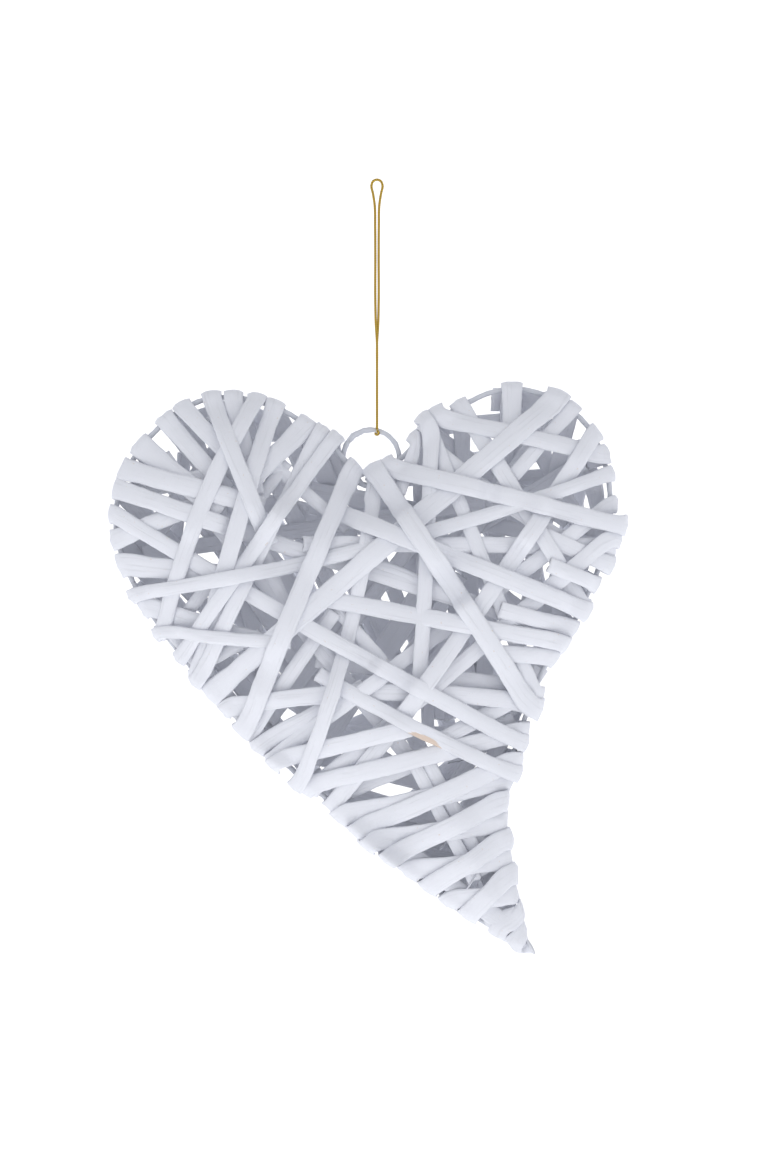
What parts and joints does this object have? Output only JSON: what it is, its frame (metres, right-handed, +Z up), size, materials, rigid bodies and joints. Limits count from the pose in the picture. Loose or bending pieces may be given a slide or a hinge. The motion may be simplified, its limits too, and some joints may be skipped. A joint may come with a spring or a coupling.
{
  "type": "hanging heart ornament",
  "caption": "White willow heart ornament: flat strips wound crosswise on a wire heart with a curved tail, hung by a wire ring and a gold cord doubled into a loop.",
  "frame": {"origin": "the inside of the top of the cord's loop, where a hook or a nail carries the ornament", "axes": "+Z up; the front of the heart faces -Y; +X to the right as seen from the front; the heart's wire frame lies in the XZ plane"},
  "size_m": [0.2731, 0.0744, 0.4094],
  "materials": {
    "willow_white": "matt white paint on split willow",
    "wire_white": "white paint on steel wire",
    "gold_thread": "gold and brown twisted thread"
  },
  "bodies": {
    "root": {"broad_left": "willow_white", "broad_right": "willow_white", "cleft_drop": "willow_white", "cleft_stub": "willow_white", "cord_hitch": "gold_thread", "frayed_strip": "willow_white", "great_diagonal": "willow_white", "hanging_cord": "gold_thread", "hanging_ring": "wire_white", "heart_frame": "wire_white", "left_brace": "willow_white", "left_crown_stub": "willow_white", "left_fan_five": "willow_white", "left_fan_four": "willow_white", "left_fan_one": "willow_white", "left_fan_three": "willow_white", "left_fan_two": "willow_white", "left_level": "willow_white", "left_long": "willow_white", "left_outer_drop": "willow_white", "left_rise": "willow_white", "left_slant_one": "willow_white", "left_slant_two": "willow_white", "left_steep": "willow_white", "left_underpass": "willow_white", "lobe_upright": "willow_white", "long_descent": "willow_white", "long_rise": "willow_white", "low_left_level": "willow_white", "low_left_short": "willow_white", "low_left_slant": "willow_white", "low_level": "willow_white", "right_crown_drop": "willow_white", "right_crown_stub": "willow_white", "right_descent": "willow_white", "right_diagonal_high": "willow_white", "right_diagonal_low": "willow_white", "right_level": "willow_white", "right_lobe_cross": "willow_white", "right_low_cross": "willow_white", "right_lower_level": "willow_white", "right_shoulder": "willow_white", "right_steep": "willow_white", "right_sweep": "willow_white", "right_top_sweep": "willow_white", "rim_stub_four": "willow_white", "rim_stub_three": "willow_white", "rim_stub_two": "willow_white", "tail_strip_eight": "willow_white", "tail_strip_five": "willow_white", "tail_strip_four": "willow_white", "tail_strip_nine": "willow_white", "tail_strip_one": "willow_white", "tail_strip_seven": "willow_white", "tail_strip_six": "willow_white", "tail_strip_ten": "willow_white", "tail_strip_three": "willow_white", "tail_strip_two": "willow_white", "tip_binding": "willow_white", "wear_strip": "willow_white"}
  },
  "joints": []
}
